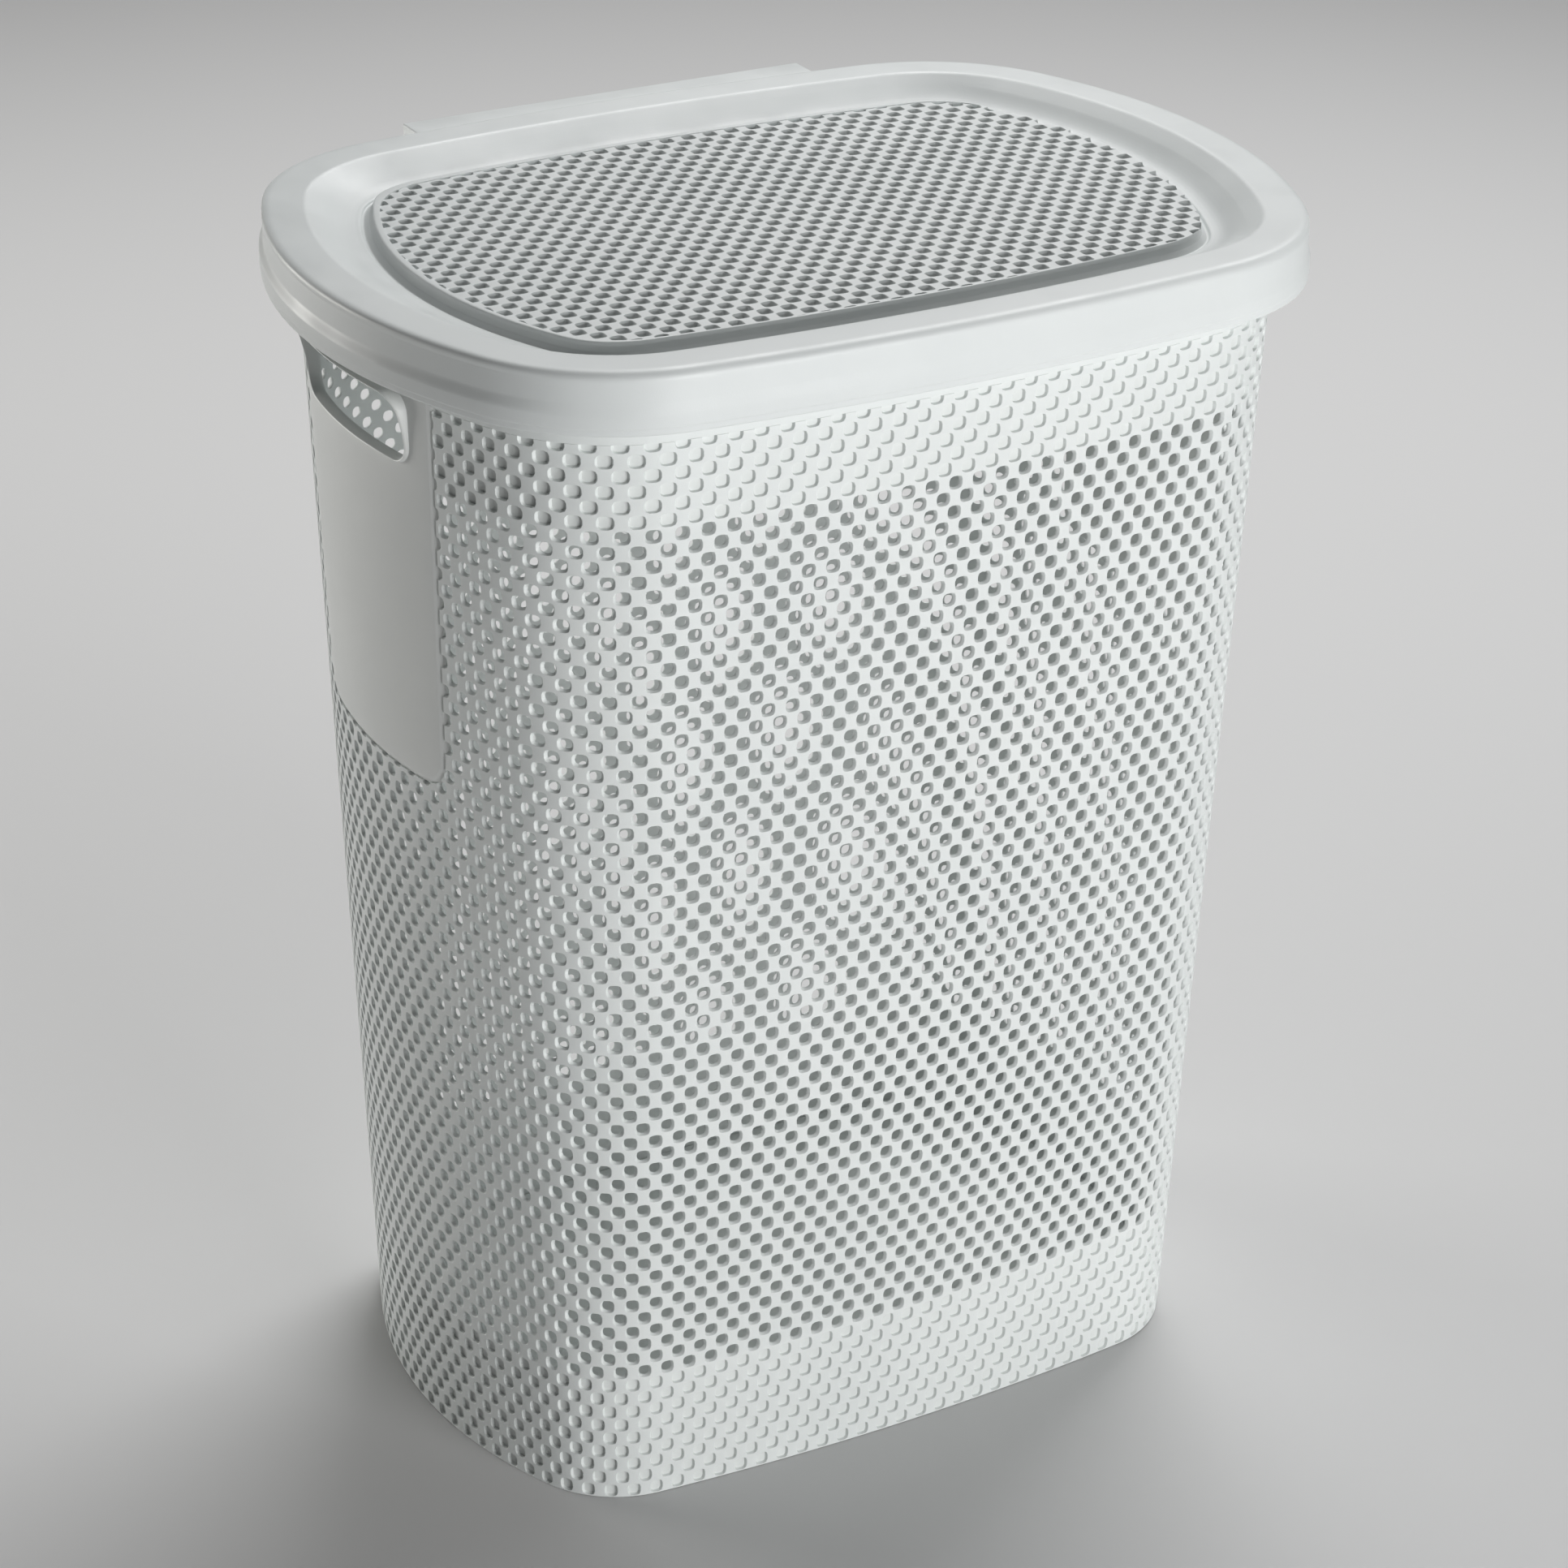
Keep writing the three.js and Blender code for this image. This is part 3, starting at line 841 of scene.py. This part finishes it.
def blend(tree, factor, a, b):
    """Colour a, or b where the factor is 1; each is a colour or another node's output."""
    node = tree.nodes.new("ShaderNodeMix")
    node.data_type = "RGBA"
    tree.links.new(factor, node.inputs["Factor"])
    for socket, value in (("A", a), ("B", b)):
        target = [s for s in node.inputs if s.name == socket and s.type == "RGBA"][0]
        if isinstance(value, tuple):
            target.default_value = (*value, 1)
        else:
            tree.links.new(value, target)
    return [s for s in node.outputs if s.type == "RGBA"][0]


def bump(tree, height, strength, distance):
    """A bump node; distance is the relief's height in metres."""
    node = tree.nodes.new("ShaderNodeBump")
    node.inputs["Strength"].default_value = strength
    node.inputs["Distance"].default_value = distance
    tree.links.new(height, node.inputs["Height"])
    return node


def clouded_tone_with_painted_light(tree, colour):
    """The colour with faint clouds, a painted highlight on the rounded edges and painted shade in the
    hollows.
    """
    base = np.array(colour)
    geometry = tree.nodes.new("ShaderNodeNewGeometry")
    bend_of_surface = geometry.outputs["Pointiness"]
    clouds = spread(tree, noise(tree, 9.0, 4.0), 0.35, 0.65, 0.0, 1.0)
    tone = blend(tree, clouds, tuple(base * (0.965, 0.97, 0.972)), tuple(np.minimum(base * 1.02, 1)))
    # Painted highlight: convex, rounded edges such as the pit lips are made paler, as where they catch
    # the light.
    edge = spread(tree, bend_of_surface, 0.5, 0.58, 0.0, 0.5)
    tone = blend(tree, edge, tone, tuple(np.minimum(base * 1.06, 1)))
    # Painted shade: hollows such as the pit floors and creases are darkened and warmed, as where shade
    # falls.
    painted_hollow_shade = spread(tree, bend_of_surface, 0.42, 0.5, 0.35, 0.0)
    return blend(tree, painted_hollow_shade, tone, tuple(base * (0.80, 0.79, 0.77)))


def plastic(name, colour, roughness):
    """Matt moulded polypropylene with fine spark-eroded grain over faint waves."""
    material = bpy.data.materials.new(name)
    material.use_nodes = True
    tree = material.node_tree
    shader = tree.nodes["Principled BSDF"]
    shader.inputs["IOR"].default_value = 1.49
    tree.links.new(clouded_tone_with_painted_light(tree, colour), shader.inputs["Base Color"])
    rough = spread(tree, noise(tree, 45.0, 5.0), 0.3, 0.7, roughness - 0.05, roughness + 0.07)
    tree.links.new(rough, shader.inputs["Roughness"])
    fine = bump(tree, noise(tree, 1600.0, 3.0), 0.25, 0.00012)
    wavy = bump(tree, noise(tree, 60.0, 2.0), 0.12, 0.0006)
    tree.links.new(fine.outputs["Normal"], wavy.inputs["Normal"])
    tree.links.new(wavy.outputs["Normal"], shader.inputs["Normal"])
    return material


TUB_PLASTIC = plastic("woven_polypropylene", (0.80, 0.83, 0.82), 0.46)
SMOOTH_PLASTIC = plastic("smooth_polypropylene", (0.79, 0.81, 0.795), 0.42)
LID_PLASTIC = plastic("lid_polypropylene", (0.78, 0.81, 0.805), 0.42)
HINGE_PLASTIC = plastic("hinge_polypropylene", (0.74, 0.765, 0.76), 0.4)


def finish_piece(obj, material, body, slot, *nodes):
    """Gives the piece its material and body, and hides the CAD nodes that it stands for. slot is not
    used.
    """
    obj.data.materials.clear()
    obj.data.materials.append(material)
    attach(obj, body)
    if nodes:
        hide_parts(*nodes)


# ---- Tub's plain pieces ----

def foot_band():
    """The low ridge that the hamper stands on."""
    outer = HALF_LENGTH - foot_high.x
    inner = outer + 9
    top = foot_high.z
    return ring("foot_band", rounded([(outer, 0), (outer, top), (inner, top), (inner, 0)], 0.8))


def tub_base():
    """The closed bottom, a little dished inside a raised margin."""
    edge = HALF_LENGTH - floor_high.x
    low, high = floor_low.z, floor_high.z
    bevel = 0.4
    margin = edge + 14
    return plug("tub_base", [
        [edge + bevel, low], [edge, low + bevel], [edge, high - bevel], [edge + bevel, high],
        [margin, high], [margin + 1, high - 0.3], [margin + 2, high - 1.0], [margin + 3.5, high - 1.2],
    ])


def rolled_rim():
    """The flange round the mouth, with a lip outside and a short collar inside the wall."""
    outer = HALF_LENGTH - rim_high.x
    lip = outer + 2.2
    inner = 19.5
    wall_face = wall_inset(WALL_TOP) + 0.2
    underside = WALL_TOP + 0.3
    collar = WALL_TOP - 2
    return ring("rolled_rim", rounded([
        (lip, rim_low.z), (outer, rim_low.z), (outer, rim_high.z), (inner, rim_high.z),
        (inner, collar), (wall_face, collar), (wall_face, underside), (lip, underside),
    ], 1.4))


def lid_shell():
    """Everything of the lid round its woven field."""
    shell = ring("lid_shell", rounded(lid_profile(), 0.5, 2), waist)
    cut(shell, field_cutter(FIELD_LAP), "DIFFERENCE")
    return shell


def hinge_part(node):
    """Keeps a hinge part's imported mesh, with its edges softened and its plastic on."""
    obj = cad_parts[node]
    obj.data.materials.clear()
    obj.data.materials.append(HINGE_PLASTIC)
    edge = obj.modifiers.new("rounded_edges", "BEVEL")
    edge.width = 0.35 * MM
    edge.segments = 2
    edge.limit_method = "ANGLE"
    edge.angle_limit = math.radians(35)


# ---- Assembly ----

for band in [*woven_wall(), wall_collar()]:
    crisp_flats(band)
    finish_piece(band, TUB_PLASTIC, "tub", "tub_wall_plastic", "tub_wall")
finish_piece(foot_band(), TUB_PLASTIC, "tub", "tub_plastic", "foot_ring")
finish_piece(tub_base(), TUB_PLASTIC, "tub", "tub_plastic", "tub_floor")
finish_piece(rolled_rim(), TUB_PLASTIC, "tub", "tub_plastic", "tub_rim")

finish_piece(lid_shell(), LID_PLASTIC, "lid", "lid_plastic", "lid_frame")
field = lid_weave()
crisp_flats(field)
finish_piece(field, LID_PLASTIC, "lid", "lid_weave_plastic", "lid_panel")
finish_piece(hinge_hood(), LID_PLASTIC, "lid", "lid_plastic", "hinge_hood")

for side, word in ((-1, "left"), (1, "right")):
    panel = handle_panel(side, f"{word}_panel")
    finish_piece(panel, SMOOTH_PLASTIC, "tub", "smooth_panel_plastic", f"{word}_handle_panel")
    bezel = grip_bezel(side, f"{word}_bezel")
    finish_piece(bezel, SMOOTH_PLASTIC, "tub", "smooth_panel_plastic", f"{word}_grip_bezel")
    for part in ("hinge_bracket", "hinge_pin", "lid_clip"):
        hinge_part(f"{word}_{part}")


# ---- Studio ----

FLOOR_HALF = 8.0                 # metres
FLOOR_TONE = 0.7


def floor():
    """A plain pale floor."""
    mesh = bpy.data.meshes.new("studio_floor")
    half = FLOOR_HALF
    mesh.from_pydata([(-half, -half, 0), (half, -half, 0), (half, half, 0), (-half, half, 0)],
                     [], [(0, 1, 2, 3)])
    obj = bpy.data.objects.new("studio_floor", mesh)
    bpy.context.collection.objects.link(obj)
    material = bpy.data.materials.new("pale_floor")
    material.use_nodes = True
    shader = material.node_tree.nodes["Principled BSDF"]
    shader.inputs["Base Color"].default_value = (FLOOR_TONE, FLOOR_TONE, FLOOR_TONE, 1)
    shader.inputs["Roughness"].default_value = 0.9
    mesh.materials.append(material)


def softbox(name, azimuth, elevation, distance, size, power, colour=(1, 1, 1)):
    """A square light round the object; azimuth 0 is in front, 90 on the +X side."""
    light = bpy.data.lights.new(name, "AREA")
    light.size = size
    light.energy = power
    light.color = colour
    obj = bpy.data.objects.new(name, light)
    bpy.context.collection.objects.link(obj)
    a, e = math.radians(azimuth), math.radians(elevation)
    away = Vector((math.sin(a) * math.cos(e), -math.cos(a) * math.cos(e), math.sin(e)))
    target = Vector((0, 0, LID_TOP * MM / 2))
    obj.location = target + away * distance
    obj.rotation_mode = "QUATERNION"
    obj.rotation_quaternion = away.to_track_quat("Z", "Y")
    obj.visible_camera = False


VIEW_AZIMUTH = -29.63            # degrees; 0 looks at the front
VIEW_ELEVATION = 26.94
VIEW_ROLL = 0.86
VIEW_DISTANCE = 1.949            # metres
VIEW_HEIGHT = 0.282
SENSOR_WIDTH = 36
FOCAL_LENGTH = 95.67


def camera():
    """Looks down on the front left corner, a little rolled, through a long lens."""
    azimuth = math.radians(VIEW_AZIMUTH)
    elevation = math.radians(VIEW_ELEVATION)
    roll = math.radians(VIEW_ROLL)
    back = Vector((math.sin(azimuth) * math.cos(elevation),
                   -math.cos(azimuth) * math.cos(elevation), math.sin(elevation)))
    right = Vector((math.cos(azimuth), math.sin(azimuth), 0))
    up = back.cross(right)
    rolled_right = right * math.cos(roll) + up * math.sin(roll)
    rolled_up = up * math.cos(roll) - right * math.sin(roll)
    data = bpy.data.cameras.new("camera")
    data.sensor_width = SENSOR_WIDTH
    data.lens = FOCAL_LENGTH
    data.shift_x = 0.0049
    obj = bpy.data.objects.new("camera", data)
    bpy.context.collection.objects.link(obj)
    target = Vector((0, MIDDLE_Y * MM, VIEW_HEIGHT))
    place = target + back * VIEW_DISTANCE
    matrix = obj.matrix_world.copy()
    for column, axis in enumerate((rolled_right, rolled_up, back, place)):
        for row in range(3):
            matrix[row][column] = axis[row]
    obj.matrix_world = matrix
    bpy.context.scene.camera = obj


def ambient(strength):
    """A little light from all round."""
    world = bpy.data.worlds.new("studio")
    world.use_nodes = True
    background = world.node_tree.nodes["Background"]
    background.inputs["Color"].default_value = (1, 1, 1, 1)
    background.inputs["Strength"].default_value = strength
    bpy.context.scene.world = world


floor()
camera()
softbox("key", 10, 4, 2.6, 1.4, 57)
softbox("left_rim", -144, 5, 2.6, 1.0, 28, (1.0, 0.985, 0.95))
softbox("back_right", 135, 52, 2.6, 1.6, 54)
ambient(0.02)
bpy.context.scene.view_settings.view_transform = "Standard"
